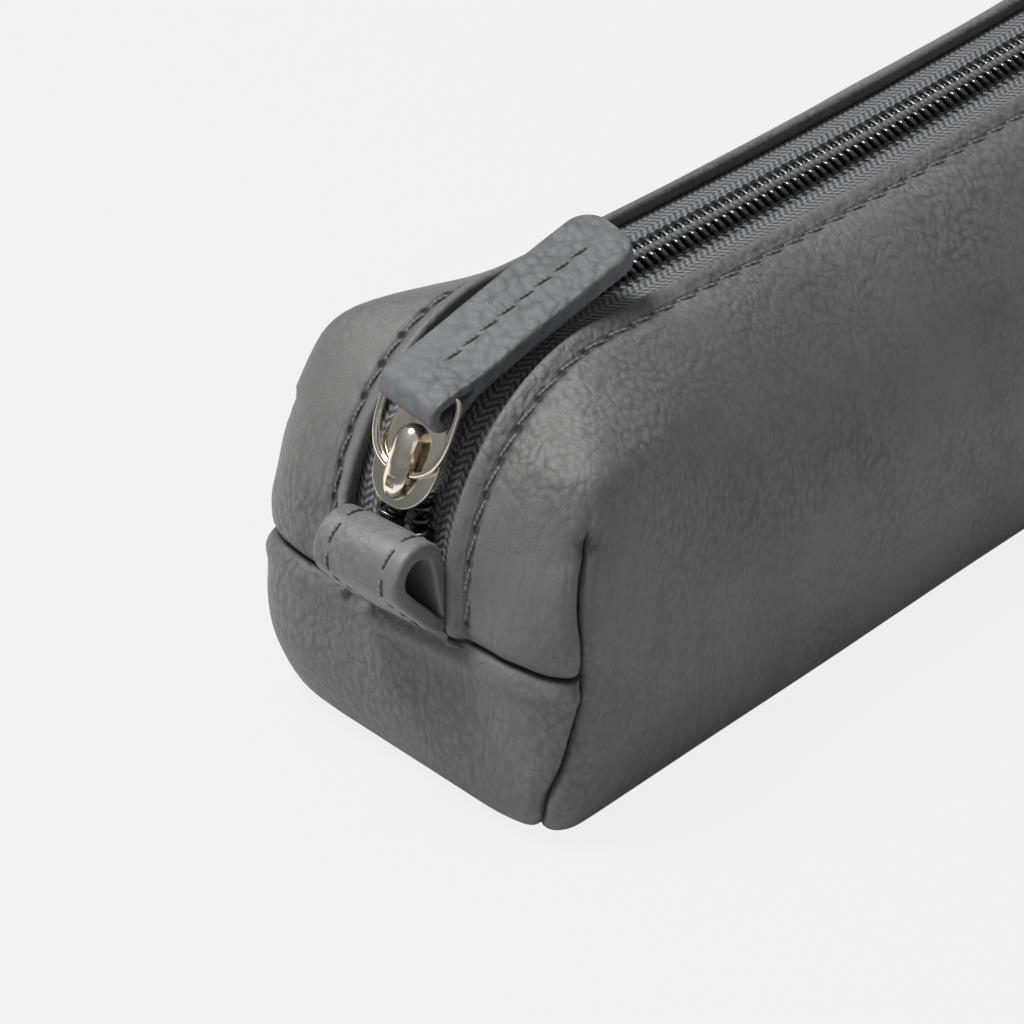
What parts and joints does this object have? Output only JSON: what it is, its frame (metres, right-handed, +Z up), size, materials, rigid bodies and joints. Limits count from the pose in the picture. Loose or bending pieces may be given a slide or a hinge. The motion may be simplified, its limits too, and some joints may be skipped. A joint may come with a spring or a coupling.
{
  "type": "pencil case",
  "caption": "Long soft leather case with boxed ends for pens, closed over its top and ends by a coil zip with a metal slider, ring and leather pull, and an end loop.",
  "frame": {"origin": "middle of the flat face that the case stands on", "axes": "+X along the case, away from the end that carries the slider and the loop; +Y across it; +Z up, out of the zip"},
  "size_m": [0.211, 0.0508, 0.0633],
  "materials": {
    "body_leather": "soft pebbled cow leather, semi-matt",
    "loop_leather": "the same leather, folded, semi-matt",
    "tab_leather": "the same leather, burnished lighter by handling",
    "lining_cloth": "plain woven lining, matt",
    "zip_tape": "woven herringbone polyester tape, matt",
    "coil_nylon": "moulded nylon thread, glossy",
    "thread": "waxed sewing thread",
    "nickel": "polished nickel plate"
  },
  "bodies": {
    "case": {"leather_body": "body_leather", "lining": "lining_cloth", "zip_tape_left": "zip_tape", "zip_tape_right": "zip_tape", "zip_coil_left": "coil_nylon", "zip_coil_right": "coil_nylon", "bottom_stop": "coil_nylon", "top_stops": "nickel", "rim_stitches_left": "thread", "rim_stitches_right": "thread", "end_loop": "loop_leather", "loop_stitches": "thread"},
    "slider": {"slider_body": "nickel", "slider_cap": "nickel", "lock_spring": "nickel"},
    "ring": {"pull_ring": "nickel"},
    "tab": {"pull_tab": "tab_leather", "tab_stitches": "thread"}
  },
  "joints": [
    {"name": "slider_travel", "type": "hinge", "parent": "case", "child": "slider", "pos_m": [-0.0771, 0, 0.0305], "axis": [0, 1, 0], "range_deg": [0, 60], "deforming": ["zip_coil_left", "zip_coil_right"]},
    {"name": "ring_swing", "type": "hinge", "parent": "slider", "child": "ring", "pos_m": [-0.10001, 0, 0.04211], "axis": [0, -1, 0], "range_deg": [0, 100]},
    {"name": "tab_swing", "type": "hinge", "parent": "ring", "child": "tab", "pos_m": [-0.09557, 0, 0.05141], "axis": [0, -1, 0], "range_deg": [0, 46]}
  ],
  "couplings": [
    {"joint": "tab_swing", "follows": "slider_travel", "ratio": 0.7}
  ]
}
